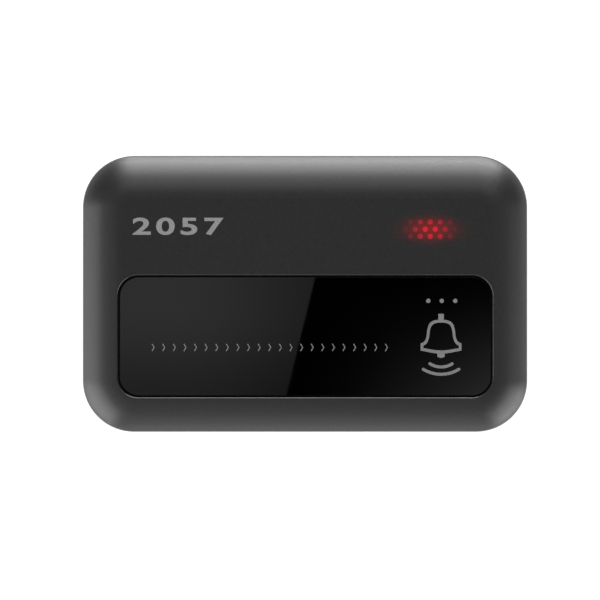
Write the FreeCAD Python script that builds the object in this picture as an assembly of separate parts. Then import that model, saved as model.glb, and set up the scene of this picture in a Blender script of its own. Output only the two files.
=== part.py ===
import FreeCAD, Part
import math
import os

Vector = FreeCAD.Vector

# A waiter call button that lies on a table with its face up. All lengths are millimetres.
# X runs along the device, Y towards its upper edge and Z up from the table.
# The origin is on the table, under the middle of the device.

# Whole body
body_length = 86.0
body_width = 53.4
body_height = 15.0
corner_radius = 9.9
parting_height = 4.6

# Fits, and the overrun of every cut
slide_gap = 0.1
pin_gap = 0.05
overrun = 1.0
edge_reach = 0.001

# Front cover
cover_wall = 2.0
shoulder_radius = 10.7
shoulder_width = 8.2
rim_radius = 0.8
cavity_steps = 3
window_side_margin = 6.75
window_lower_margin = 6.7
window_upper_band = 23.13
window_corner_radius = 4.0
window_lip_radius = 0.26
collar_wall = 1.2
collar_depth = 2.8
screw_reach = 4.0
boss_radius = 2.5
boss_top = 9.2
boss_rib = 1.0
boss_roof = 0.6

# Indicator: rows of small light dots in the cover, filled by the pegs of a light guide
indicator_side_margin = 18.8
indicator_upper_margin = 14.2
dot_radius = 0.525
dot_sides = 12
dot_pitch = 1.95
dot_row_pitch = 1.42
dot_row_counts = (7, 6, 7)
peg_gap = 0.025
guide_margin = 1.6
guide_plate = 1.0
guide_foot_length = 4.0
guide_foot_width = 3.2
guide_lift = 0.3

# Rear housing
foot_proud = 0.8
floor_thickness = 1.6
rear_bottom_inset = 3.0
rear_top_inset = 0.5
cavity_draft = 0.5
lip_thickness = 1.0
lip_height = 1.5
tower_radius = 3.0
screw_recess_depth = 2.6
standoff_side_inset = 6.4
standoff_end_inset = 11.1
standoff_radius = 2.0
standoff_pilot_depth = 3.4

# Keyholes for hanging the device on two wall screws
keyhole_spacing = 40.0
keyhole_upper_margin = 21.7
keyhole_radius = 3.5
keyhole_slot = 3.8
keyhole_travel = 6.0
keyhole_depth = 4.5
keyhole_margin = 0.6
keyhole_wall = 0.9

# Rubber feet
foot_radius = 3.5
foot_sink = 0.6
foot_side_margin = 16.0
foot_end_margin = 8.2
foot_chamfer = 0.3

# Battery door, which slides out through the lower edge
door_width = 27.0
door_thickness = 1.2
door_margin = 4.0
door_tongue = 0.9
door_tongue_thickness = 0.6
door_web = 1.0
door_frame = 1.1
door_frame_end = 1.9
grip_count = 5
grip_radius = 0.6
grip_sink = 0.35
grip_pitch = 1.8
grip_length = 12.0
grip_start = 4.2

# Coin cell and its contacts
cell_radius = 10.0
cell_height = 3.2
cell_cap_radius = 8.7
cell_cap_height = 0.35
cell_groove = 0.3
cell_round = 0.4
cell_lower_margin = 18.7
cell_gap = 0.4
cell_ring_wall = 1.0
cell_ring_gap = 0.5
contact_rise = 1.1
contact_sheet = 0.2
contact_width = 4.0
contact_base = 2.0
contact_reach = 6.0
contact_tip = 1.2
contact_tip_lift = 0.45
contact_notch = 6.0
side_contact_foot = 3.2
side_contact_drop = 2.7

# Circuit board
board_inset = 3.6
board_thickness = 1.0
board_gap = 0.4
board_notch_gap = 0.9
board_corner = 5.0

# Screws
screw_radius = 0.95
screw_head_radius = 1.9
screw_head_height = 1.3
screw_head_bevel = 0.4
screw_cross_length = 2.2
screw_cross_width = 0.5
screw_cross_depth = 0.7
housing_screw_length = 5.0
board_screw_length = 4.0
recess_gap = 0.3

# Key: a glossy lens glued to a hinged carrier
lens_side_gap = 0.38
lens_hinge_gap = 0.5
lens_recess = 0.35
lens_thickness = 1.2
lens_bevel = 0.08
adhesive_thickness = 0.15
adhesive_inset = 0.6
platform_inset = 0.1
flange_overlap = 0.8
flange_thickness = 1.0
key_rib = 0.8
key_rib_depth = 1.0
key_rib_inset = 1.0
key_cross_rib_count = 4
key_post_radius = 1.8
hinge_inset = 1.75
hinge_drop = 0.5
hinge_pin_radius = 0.9
hinge_pin_end_gap = 0.3
ear_thickness = 1.2
ear_gap = 0.2
ear_radius = 1.9
ear_slot = 1.5

# Push switch under the bell mark
switch_inset = 9.85
switch_size = 6.0
switch_base_height = 2.2
switch_well_radius = 2.4
switch_floor = 0.7
switch_cover_sheet = 0.25
switch_tab_width = 2.4
switch_tab_drop = 1.2
switch_stem_radius = 1.75
switch_stem_stand = 0.65
switch_flange = 0.35
switch_flange_height = 0.4
switch_nub_radius = 0.6
dome_radius = 2.2
dome_rise = 0.7
dome_sheet = 0.1
terminal_width = 0.7
terminal_sheet = 0.2
terminal_reach = 1.3
terminal_pitch = 4.5
terminal_height = 0.9

# Lamp under the indicator
lamp_length = 3.5
lamp_width = 2.8
lamp_height = 1.2
lamp_dome_radius = 1.2
lamp_dome_height = 0.8
lamp_dome_rim = 0.3

# Parts on the circuit board
chip_length = 9.9
chip_width = 3.9
chip_height = 1.4
chip_lift = 0.1
chip_inset = 16.25
chip_bevel = 0.3
lead_count = 7
lead_pitch = 1.27
lead_width = 0.42
lead_sheet = 0.2
lead_reach = 1.05
crystal_length = 10.5
crystal_width = 4.2
crystal_height = 3.4
crystal_base = 0.4
crystal_base_rim = 0.35
crystal_bevel = 0.5
crystal_side_inset = 31.4
crystal_end_inset = 11.1
capacitor_length = 1.6
capacitor_width = 0.8
capacitor_height = 0.8
resistor_length = 1.6
resistor_width = 0.8
resistor_height = 0.45
antenna_sheet = 0.4
antenna_width = 1.2
antenna_length = 30.0
antenna_height = 3.0
antenna_side_inset = 12.4
antenna_end_inset = 3.9

# Places of small parts on the board, as shares of its half length and half width
capacitor_shares = ((-0.36, -0.58), (-0.66, -0.60), (-0.10, 0.15), (-0.28, 0.17), (0.24, 0.46), (0.46, 0.22))
resistor_shares = ((-0.50, 0.16), (-0.22, -0.08), (0.10, -0.58), (0.36, 0.60), (0.20, -0.06))

# Heights that follow from the sizes above
floor_top = foot_proud + floor_thickness
door_top = foot_proud + door_thickness
web_bottom = door_top + slide_gap
web_top = web_bottom + door_web
cell_top = web_bottom + cell_height
board_bottom = cell_top + contact_rise
board_top = board_bottom + board_thickness
tower_top = board_bottom - board_gap
lip_top = parting_height + lip_height
screw_seat = foot_proud + screw_recess_depth
switch_base_top = board_top + switch_base_height
switch_cover_top = switch_base_top + switch_cover_sheet
stem_top = switch_cover_top + switch_stem_stand
collar_bottom = body_height - collar_depth
flange_top = collar_bottom - slide_gap
flange_bottom = flange_top - flange_thickness
lens_top = body_height - lens_recess
lens_bottom = lens_top - lens_thickness
platform_top = lens_bottom - adhesive_thickness

# Places that follow from the sizes above
screw_x = body_length / 2 - corner_radius + screw_reach / math.sqrt(2)
screw_y = body_width / 2 - corner_radius + screw_reach / math.sqrt(2)
window_length = body_length - 2 * window_side_margin
window_width = body_width - window_lower_margin - window_upper_band
window_y = (window_lower_margin - window_upper_band) / 2
indicator_x = body_length / 2 - indicator_side_margin
indicator_y = body_width / 2 - indicator_upper_margin
lens_length = window_length - lens_hinge_gap - lens_side_gap
lens_width = window_width - 2 * lens_side_gap
lens_x = (lens_hinge_gap - lens_side_gap) / 2
lens_corner_radius = window_corner_radius - lens_side_gap
flange_length = window_length + 2 * flange_overlap
flange_width = window_width + 2 * flange_overlap
flange_corner_radius = window_corner_radius + flange_overlap
hinge_x = hinge_inset - window_length / 2
hinge_height = flange_bottom - hinge_drop
lip_inset = cover_wall + slide_gap
cavity_top_inset = lip_inset + lip_thickness
shoulder_middle = body_height - shoulder_radius
rim_height = shoulder_middle + math.sqrt(shoulder_radius ** 2 - shoulder_width ** 2)
cavity_bottom_inset = cavity_top_inset + cavity_draft
board_half_length = body_length / 2 - board_inset
board_half_width = body_width / 2 - board_inset
standoff_x = board_half_length - standoff_side_inset
standoff_y = board_half_width - standoff_end_inset
keyhole_y = body_width / 2 - keyhole_upper_margin
foot_x = body_length / 2 - foot_side_margin
foot_y = body_width / 2 - foot_end_margin
cell_y = cell_lower_margin - body_width / 2
switch_x = window_length / 2 - switch_inset
chip_x = chip_inset - window_length / 2
crystal_x = crystal_side_inset - board_half_length
crystal_y = board_half_width - crystal_end_inset
antenna_x = antenna_side_inset + antenna_length / 2 - board_half_length
antenna_y = board_half_width - antenna_end_inset
door_end = cell_y + cell_radius + door_margin
foot_height = foot_proud + foot_sink

quarter_turn = 90.0
four_quarters = ((1, 1), (-1, 1), (-1, -1), (1, -1))
up = Vector(0, 0, 1)


def rounded_outline(length, width, radius, height, x=0, y=0):
    """Level outline of a rectangle with round corners."""
    middle_x = length / 2 - radius
    middle_y = width / 2 - radius
    arcs = []
    for quarter, (side_x, side_y) in enumerate(four_quarters):
        middle = Vector(x + side_x * middle_x, y + side_y * middle_y, height)
        start = quarter_turn * quarter
        arcs.append(Part.makeCircle(radius, middle, up, start, start + quarter_turn))
    edges = []
    for arc, following in zip(arcs, arcs[1:] + arcs[:1]):
        start = arc.valueAt(arc.LastParameter)
        end = following.valueAt(following.FirstParameter)
        edges.append(arc)
        if start.distanceToPoint(end) > edge_reach:
            edges.append(Part.makeLine(start, end))
    return Part.Wire(edges)


def rounded_slab(length, width, radius, bottom, top, x=0, y=0):
    """Upright slab with round corners."""
    outline = rounded_outline(length, width, radius, bottom, x, y)
    return Part.Face(outline).extrude(up * (top - bottom))


def inset_outline(inset, height):
    """Level outline of the body drawn in by an inset."""
    return rounded_outline(body_length - 2 * inset, body_width - 2 * inset, corner_radius - inset, height)


def block(low_x, high_x, low_y, high_y, low_z, high_z):
    """Plain block between two corners."""
    return Part.makeBox(high_x - low_x, high_y - low_y, high_z - low_z, Vector(low_x, low_y, low_z))


def upright_cylinder(radius, bottom, top, x=0, y=0):
    """Round bar that stands upright."""
    return Part.makeCylinder(radius, top - bottom, Vector(x, y, bottom))


def turned(points, x=0, y=0):
    """Solid turned about an upright axis from (radius, height) points."""
    outline = Part.makePolygon([Vector(radius, 0, height) for radius, height in points + points[:1]])
    solid = Part.Face(outline).revolve(Vector(0, 0, 0), up, 4 * quarter_turn)
    return solid.translated(Vector(x, y, 0))


def edges_at(shape, height):
    """Edges of a shape that lie level at a height."""
    found = []
    for edge in shape.Edges:
        box = edge.BoundBox
        if abs(box.ZMin - height) < edge_reach and abs(box.ZMax - height) < edge_reach:
            found.append(edge)
    return found


def fused(shapes):
    """One clean solid made of all the shapes."""
    whole = shapes[0]
    for shape in shapes[1:]:
        whole = whole.fuse(shape)
    return whole.removeSplitter()


def bent_strip(points, sheet, width, y):
    """Sheet metal strip whose middle line follows (x, height) points, cut square at its ends."""
    upper = []
    lower = []
    for index, (x, height) in enumerate(points):
        before = points[max(index - 1, 0)]
        after = points[min(index + 1, len(points) - 1)]
        along_in = Vector(x - before[0], 0, height - before[1])
        along_out = Vector(after[0] - x, 0, after[1] - height)
        if index == 0:
            along_in = along_out
        if index == len(points) - 1:
            along_out = along_in
        along_in.normalize()
        along_out.normalize()
        normal_in = Vector(-along_in.z, 0, along_in.x)
        normal_out = Vector(-along_out.z, 0, along_out.x)
        mitre = normal_in + normal_out
        mitre = mitre * (sheet / mitre.dot(normal_in) / 2)
        middle = Vector(x, y - width / 2, height)
        upper.append(middle + mitre)
        lower.append(middle - mitre)
    outline = upper + lower[::-1]
    return Part.Face(Part.makePolygon(outline + outline[:1])).extrude(Vector(0, width, 0))


# Front cover

def cover_form():
    """Outside of the cover: a wide round shoulder that meets the upright wall in a small rim radius."""
    overhang = shoulder_radius - shoulder_width
    crown = rounded_slab(body_length + 2 * overhang, body_width + 2 * overhang, corner_radius + overhang,
                         shoulder_middle - overrun, body_height)
    crown = crown.makeFillet(shoulder_radius, edges_at(crown, body_height))
    wall = rounded_slab(body_length, body_width, corner_radius, parting_height, body_height)
    form = wall.common(crown)
    return form.makeFillet(rim_radius, edges_at(form, rim_height))


def cover_cavity():
    """Inside of the cover, which follows the round shoulder in a few flat steps."""
    inner_radius = shoulder_radius - cover_wall
    steepest = math.asin((shoulder_width - cover_wall) / inner_radius)
    outlines = [inset_outline(cover_wall, parting_height - overrun)]
    for step in range(cavity_steps + 1):
        slope = steepest * (1 - step / cavity_steps)
        inset = shoulder_width - inner_radius * math.sin(slope)
        outlines.append(inset_outline(inset, shoulder_middle + inner_radius * math.cos(slope)))
    return Part.makeLoft(outlines, True, True)


def window_slab(growth, bottom, top):
    """Slab with the outline of the window, grown evenly on every side."""
    length = window_length + 2 * growth
    width = window_width + 2 * growth
    return rounded_slab(length, width, window_corner_radius + growth, bottom, top, 0, window_y)


def window_lip_edges(cover):
    """Edges where the wall of the window meets the face of the cover."""
    found = []
    for edge in cover.Edges:
        box = edge.BoundBox
        across = max(abs(box.XMin), abs(box.XMax)) < window_length / 2 + edge_reach
        along = max(abs(box.YMin - window_y), abs(box.YMax - window_y)) < window_width / 2 + edge_reach
        if across and along and box.ZMin > body_height - lens_recess:
            found.append(edge)
    return found


def dot_places():
    """Middles of the light dots: three rows, the middle one shifted by half a pitch."""
    places = []
    for row, count in enumerate(dot_row_counts):
        y = indicator_y + (row - (len(dot_row_counts) - 1) / 2) * dot_row_pitch
        for place in range(count):
            x = indicator_x + (place - (count - 1) / 2) * dot_pitch
            places.append((x, y))
    return places


def dot_prism(radius, bottom, top, x, y):
    """Upright prism for one of the dots, with few sides because the dots are small and many."""
    corners = []
    for side in range(dot_sides):
        angle = math.radians(4 * quarter_turn * side / dot_sides)
        corners.append(Vector(x + radius * math.cos(angle), y + radius * math.sin(angle), bottom))
    return Part.Face(Part.makePolygon(corners + corners[:1])).extrude(up * (top - bottom))


def screw_boss(side_x, side_y):
    """Screw boss in a corner of the cover, tied to both walls by ribs above the board."""
    x = side_x * screw_x
    y = side_y * screw_y
    boss = upright_cylinder(boss_radius, tower_top, boss_top, x, y)
    rib_bottom = board_top + board_gap
    outer_x = side_x * body_length / 2
    outer_y = side_y * body_width / 2
    rib_x = block(min(x, outer_x), max(x, outer_x), y - boss_rib / 2, y + boss_rib / 2, rib_bottom, boss_top)
    rib_y = block(x - boss_rib / 2, x + boss_rib / 2, min(y, outer_y), max(y, outer_y), rib_bottom, boss_top)
    return fused([boss, rib_x, rib_y])


def hinge_ears():
    """Two ears that carry the pins of the key, each open below so that the pin snaps in."""
    ears = []
    for side in (1, -1):
        near = window_y + side * (flange_width / 2 + ear_gap)
        low_y = min(near, near + side * ear_thickness)
        high_y = low_y + ear_thickness
        stem = block(hinge_x - ear_radius, hinge_x + ear_radius, low_y, high_y, hinge_height, body_height)
        eye = Part.makeCylinder(ear_radius, ear_thickness, Vector(hinge_x, low_y, hinge_height), Vector(0, 1, 0))
        hole_start = Vector(hinge_x, low_y - overrun, hinge_height)
        hole_length = ear_thickness + 2 * overrun
        hole = Part.makeCylinder(hinge_pin_radius + pin_gap, hole_length, hole_start, Vector(0, 1, 0))
        slot_bottom = hinge_height - ear_radius - overrun
        slot = block(hinge_x - ear_slot / 2, hinge_x + ear_slot / 2,
                     low_y - overrun, high_y + overrun, slot_bottom, hinge_height)
        ears.append(stem.fuse(eye).cut(hole.fuse(slot)))
    return ears


def front_cover():
    """Moulded shell with round shoulders, the window with its collar, bosses and hinge ears."""
    outer = cover_form()
    shell = outer.cut(cover_cavity())
    collar = window_slab(collar_wall, collar_bottom, body_height - cover_wall / 2)
    bosses = [screw_boss(side_x, side_y) for side_x, side_y in four_quarters]
    whole = fused([shell] + [piece.common(outer) for piece in [collar] + hinge_ears() + bosses])
    cuts = [window_slab(0, collar_bottom - overrun, body_height + overrun)]
    for side_x, side_y in four_quarters:
        x = side_x * screw_x
        y = side_y * screw_y
        cuts.append(upright_cylinder(screw_radius + pin_gap, tower_top - overrun, boss_top - boss_roof, x, y))
    for x, y in dot_places():
        roof = body_height - cover_wall
        cuts.append(dot_prism(dot_radius, roof - overrun, body_height + overrun, x, y))
    cover = whole.cut(Part.makeCompound(cuts))
    return cover.makeFillet(window_lip_radius, window_lip_edges(cover))


# Indicator

def indicator_light_guide():
    """Clear block under the cover: pegs fill the dots and a tapered stem gathers the lamp's light."""
    roof = body_height - cover_wall
    length = max(dot_row_counts) * dot_pitch + guide_margin
    width = len(dot_row_counts) * dot_row_pitch + guide_margin
    plate_bottom = roof - guide_plate
    plate = rounded_slab(length, width, guide_margin / 2, plate_bottom, roof, indicator_x, indicator_y)
    foot_height_above = board_top + lamp_height + lamp_dome_height + guide_lift
    wide = rounded_outline(length - guide_margin, width - guide_margin / 2, guide_margin / 2,
                           plate_bottom, indicator_x, indicator_y)
    narrow = rounded_outline(guide_foot_length, guide_foot_width, guide_margin / 2,
                             foot_height_above, indicator_x, indicator_y)
    stem = Part.makeLoft([narrow, wide], True, True)
    pegs = []
    for x, y in dot_places():
        pegs.append(dot_prism(dot_radius - peg_gap, roof - guide_plate / 2, body_height, x, y))
    return fused([plate, stem] + pegs)


def led_package():
    """White package of the lamp, soldered to the board."""
    half_length = lamp_length / 2
    half_width = lamp_width / 2
    package = block(indicator_x - half_length, indicator_x + half_length,
                    indicator_y - half_width, indicator_y + half_width, board_top, board_top + lamp_height)
    return package.makeFillet(lamp_dome_rim, [edge for edge in package.Edges if edge.BoundBox.ZLength > lamp_height / 2])


def led_lens():
    """Clear dome on the lamp: part of a ball, seated on the package."""
    base = board_top + lamp_height
    ball_radius = (lamp_dome_radius ** 2 + lamp_dome_height ** 2) / (2 * lamp_dome_height)
    ball = Part.makeSphere(ball_radius, Vector(indicator_x, indicator_y, base + lamp_dome_height - ball_radius))
    above = upright_cylinder(lamp_dome_radius, base, base + lamp_height, indicator_x, indicator_y)
    return ball.common(above)


# Key

def key_lens():
    """Glossy sheet that shows in the window, with bevelled upper edges."""
    sheet = rounded_slab(lens_length, lens_width, lens_corner_radius, lens_bottom, lens_top, lens_x, window_y)
    return sheet.makeChamfer(lens_bevel, edges_at(sheet, lens_top))


def key_adhesive():
    """Double-sided sheet that holds the lens on its carrier."""
    inset = 2 * adhesive_inset
    return rounded_slab(lens_length - inset, lens_width - inset, lens_corner_radius - adhesive_inset,
                        platform_top, lens_bottom, lens_x, window_y)


def key_carrier():
    """Moulded carrier: platform, flange behind the collar, ribs, push post and two hinge pins."""
    inset = 2 * platform_inset
    platform = rounded_slab(lens_length - inset, lens_width - inset, lens_corner_radius - platform_inset,
                            flange_top, platform_top, lens_x, window_y)
    flange = rounded_slab(flange_length, flange_width, flange_corner_radius,
                          flange_bottom, flange_top, 0, window_y)
    rib_bottom = flange_bottom - key_rib_depth
    rim_length = flange_length - 2 * key_rib_inset
    rim_width = flange_width - 2 * key_rib_inset
    rim_radius = flange_corner_radius - key_rib_inset
    rim = rounded_slab(rim_length, rim_width, rim_radius, rib_bottom, flange_bottom, 0, window_y)
    inner_length = rim_length - 2 * key_rib
    inner_width = rim_width - 2 * key_rib
    rim = rim.cut(rounded_slab(inner_length, inner_width, rim_radius - key_rib,
                               rib_bottom - overrun, flange_bottom + overrun, 0, window_y))
    pieces = [platform, flange, rim]
    for place in range(key_cross_rib_count):
        x = inner_length * ((place + 1) / (key_cross_rib_count + 1) - 1 / 2)
        pieces.append(block(x - key_rib / 2, x + key_rib / 2, window_y - rim_width / 2 + key_rib / 2,
                            window_y + rim_width / 2 - key_rib / 2, rib_bottom, flange_bottom))
    pieces.append(upright_cylinder(key_post_radius, stem_top + slide_gap / 4, flange_bottom, switch_x, window_y))
    pin_reach = ear_gap + ear_thickness - hinge_pin_end_gap
    for side in (1, -1):
        near = window_y + side * (flange_width / 2 - key_rib_inset)
        start = Vector(hinge_x, near, hinge_height)
        length = key_rib_inset + pin_reach
        pieces.append(Part.makeCylinder(hinge_pin_radius, length, start, Vector(0, side, 0)))
    return fused(pieces)


# Push switch

def switch_base():
    """Moulded base of the switch with a round well for the dome."""
    half = switch_size / 2
    base = block(switch_x - half, switch_x + half, window_y - half, window_y + half, board_top, switch_base_top)
    well = upright_cylinder(switch_well_radius, board_top + switch_floor, switch_base_top + overrun,
                            switch_x, window_y)
    return base.cut(well)


def switch_dome():
    """Thin snap dome that clicks when the plunger presses it and springs back."""
    rest = board_top + switch_floor + pin_gap
    outer_ball = (dome_radius ** 2 + dome_rise ** 2) / (2 * dome_rise)
    middle = Vector(switch_x, window_y, rest + dome_rise - outer_ball)
    shell = Part.makeSphere(outer_ball, middle).cut(Part.makeSphere(outer_ball - dome_sheet, middle))
    above = upright_cylinder(dome_radius + overrun, rest, switch_base_top, switch_x, window_y)
    return shell.common(above)


def switch_plunger():
    """Stem with a flange held under the switch cover and a nub on the dome."""
    flange_radius = switch_stem_radius + switch_flange
    flange_high = switch_base_top - pin_gap
    flange_low = flange_high - switch_flange_height
    nub_low = board_top + switch_floor + dome_rise + 2 * pin_gap
    return turned([(0, nub_low), (switch_nub_radius, nub_low), (switch_nub_radius, flange_low),
                   (flange_radius, flange_low), (flange_radius, flange_high),
                   (switch_stem_radius, flange_high), (switch_stem_radius, stem_top), (0, stem_top)],
                  switch_x, window_y)


def switch_cover():
    """Sheet steel cover with a hole for the stem and a tab down each of two sides."""
    half = switch_size / 2
    plate = block(switch_x - half - switch_cover_sheet, switch_x + half + switch_cover_sheet,
                  window_y - half, window_y + half, switch_base_top, switch_cover_top)
    pieces = [plate]
    for side in (1, -1):
        near = switch_x + side * half
        far = near + side * switch_cover_sheet
        pieces.append(block(min(near, far), max(near, far), window_y - switch_tab_width / 2,
                            window_y + switch_tab_width / 2, switch_base_top - switch_tab_drop, switch_cover_top))
    hole = upright_cylinder(switch_stem_radius + slide_gap, switch_base_top - overrun,
                            switch_cover_top + overrun, switch_x, window_y)
    return fused(pieces).cut(hole)


def gull_wing(side, near, reach, height, sheet, width, y):
    """Soldered terminal that leaves a side, steps down and lies on the board."""
    low = board_top + sheet / 2
    points = [(near, height), (near + side * reach / 3, height),
              (near + side * reach / 2, low), (near + side * reach, low)]
    return bent_strip(points, sheet, width, y)


def switch_terminals():
    """Four terminals of the switch, beside the tabs of its cover."""
    terminals = []
    for side_x, side_y in four_quarters:
        near = switch_x + side_x * switch_size / 2
        y = window_y + side_y * terminal_pitch / 2
        height = board_top + terminal_height
        terminals.append(gull_wing(side_x, near, terminal_reach, height, terminal_sheet, terminal_width, y))
    return Part.makeCompound(terminals)


# Circuit board and the parts on it

def circuit_board():
    """Board with round notches for the bosses and holes for its screws."""
    board = rounded_slab(2 * board_half_length, 2 * board_half_width, board_corner, board_bottom, board_top)
    cuts = []
    for side_x, side_y in four_quarters:
        low = board_bottom - overrun
        high = board_top + overrun
        cuts.append(upright_cylinder(tower_radius + board_notch_gap, low, high, side_x * screw_x, side_y * screw_y))
        cuts.append(upright_cylinder(screw_radius + slide_gap, low, high, side_x * standoff_x, side_y * standoff_y))
    return board.cut(Part.makeCompound(cuts))


def radio_chip():
    """Moulded body of the radio transmitter, with bevelled upper edges."""
    low = board_top + chip_lift
    body = block(chip_x - chip_length / 2, chip_x + chip_length / 2, window_y - chip_width / 2,
                 window_y + chip_width / 2, low, low + chip_height)
    return body.makeChamfer(chip_bevel, edges_at(body, low + chip_height))


def radio_chip_leads():
    """Rows of leads along both long sides of the chip."""
    leads = []
    for side in (1, -1):
        for place in range(lead_count):
            along = (place - (lead_count - 1) / 2) * lead_pitch
            height = board_top + chip_lift + chip_height / 2
            lead = gull_wing(side, side * chip_width / 2, lead_reach, height, lead_sheet, lead_width, along)
            lead.rotate(Vector(0, 0, 0), up, quarter_turn)
            leads.append(lead.translated(Vector(chip_x, window_y, 0)))
    return Part.makeCompound(leads)


def crystal():
    """Metal can of the crystal on its rim, with a bevelled upper edge."""
    rim = 2 * crystal_base_rim
    base = rounded_slab(crystal_length + rim, crystal_width + rim, crystal_width / 2 + crystal_base_rim,
                        board_top, board_top + crystal_base, crystal_x, crystal_y)
    can = rounded_slab(crystal_length, crystal_width, crystal_width / 2,
                       board_top + crystal_base, board_top + crystal_height, crystal_x, crystal_y)
    can = can.makeChamfer(crystal_bevel, edges_at(can, board_top + crystal_height))
    return fused([base, can])


def small_parts(shares, length, width, height):
    """Small soldered parts at shares of the board's half sizes."""
    parts = []
    for share_x, share_y in shares:
        x = share_x * board_half_length
        y = share_y * board_half_width
        parts.append(block(x - length / 2, x + length / 2, y - width / 2, y + width / 2,
                           board_top, board_top + height))
    return Part.makeCompound(parts)


def antenna_loop():
    """Sheet metal aerial that stands on the board like a low bridge."""
    half = (antenna_length - antenna_sheet) / 2
    top = board_top + antenna_height - antenna_sheet / 2
    points = [(antenna_x - half, board_top), (antenna_x - half, top),
              (antenna_x + half, top), (antenna_x + half, board_top)]
    return bent_strip(points, antenna_sheet, antenna_width, antenna_y)


# Coin cell, contacts and battery door

def coin_cell():
    """Coin cell: the can below, a groove with the seal, and the smaller cap above."""
    cap_bottom = cell_top - cell_cap_height
    return turned([(0, web_bottom), (cell_radius - cell_round, web_bottom),
                   (cell_radius, web_bottom + cell_round), (cell_radius, cap_bottom - cell_round),
                   (cell_radius - cell_round, cap_bottom), (cell_cap_radius + cell_groove, cap_bottom),
                   (cell_cap_radius + cell_groove, cap_bottom - cell_groove),
                   (cell_cap_radius, cap_bottom - cell_groove), (cell_cap_radius, cell_top - cell_groove / 2),
                   (cell_cap_radius - cell_groove, cell_top), (0, cell_top)], 0, cell_y)


def battery_negative_contact():
    """Leaf spring under the board whose two arms press on the cap of the cell."""
    high = board_bottom - contact_sheet / 2
    low = cell_top + pin_gap + contact_sheet / 2
    points = [(-contact_reach - contact_tip, low + contact_tip_lift), (-contact_reach, low),
              (-contact_base, high), (contact_base, high),
              (contact_reach, low), (contact_reach + contact_tip, low + contact_tip_lift)]
    return bent_strip(points, contact_sheet, contact_width, cell_y)


def battery_positive_contact():
    """Leaf that hangs from the board and touches the rim of the cell."""
    high = board_bottom - contact_sheet / 2
    near = cell_radius + pin_gap + contact_sheet / 2
    points = [(near + side_contact_foot, high), (near, high), (near, high - side_contact_drop)]
    return bent_strip(points, contact_sheet, contact_width, cell_y)


def battery_door():
    """Sliding door: a plate with a tongue along each side and finger grips near its outer end."""
    half = door_width / 2
    plate = block(-half, half, -body_width / 2, door_end, foot_proud, door_top)
    tongues = block(-half - door_tongue, half + door_tongue, -body_width / 2, door_end,
                    door_top - door_tongue_thickness, door_top)
    door = plate.fuse(tongues).common(rear_form()).removeSplitter()
    grips = []
    for place in range(grip_count):
        y = rear_bottom_inset + grip_start + place * grip_pitch - body_width / 2
        start = Vector(-grip_length / 2, y, foot_proud - grip_radius + grip_sink)
        grips.append(Part.makeCylinder(grip_radius, grip_length, start, Vector(1, 0, 0)))
    return door.cut(Part.makeCompound(grips))


# Rear housing

def rear_form():
    """Outside of the rear housing, which draws in towards the table."""
    return Part.makeLoft([inset_outline(rear_bottom_inset, foot_proud),
                          inset_outline(rear_top_inset, parting_height)], True, True)


def keyhole_pocket(side, growth, bottom, top):
    """Space behind a keyhole, or its walls when grown: an upright slab with round ends."""
    half_width = keyhole_radius + keyhole_margin + growth
    length = keyhole_travel + 2 * half_width
    y = keyhole_y + keyhole_travel / 2
    return rounded_slab(2 * half_width, length, half_width, bottom, top,
                        side * keyhole_spacing / 2, y)


def keyhole_cut(side):
    """Round entry and narrower slot through the floor."""
    x = side * keyhole_spacing / 2
    low = foot_proud - overrun
    high = floor_top + pin_gap
    entry = upright_cylinder(keyhole_radius, low, high, x, keyhole_y)
    slot_end = keyhole_y + keyhole_travel
    slot = block(x - keyhole_slot / 2, x + keyhole_slot / 2, keyhole_y, slot_end, low, high)
    return fused([entry, slot, upright_cylinder(keyhole_slot / 2, low, high, x, slot_end)])


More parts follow.
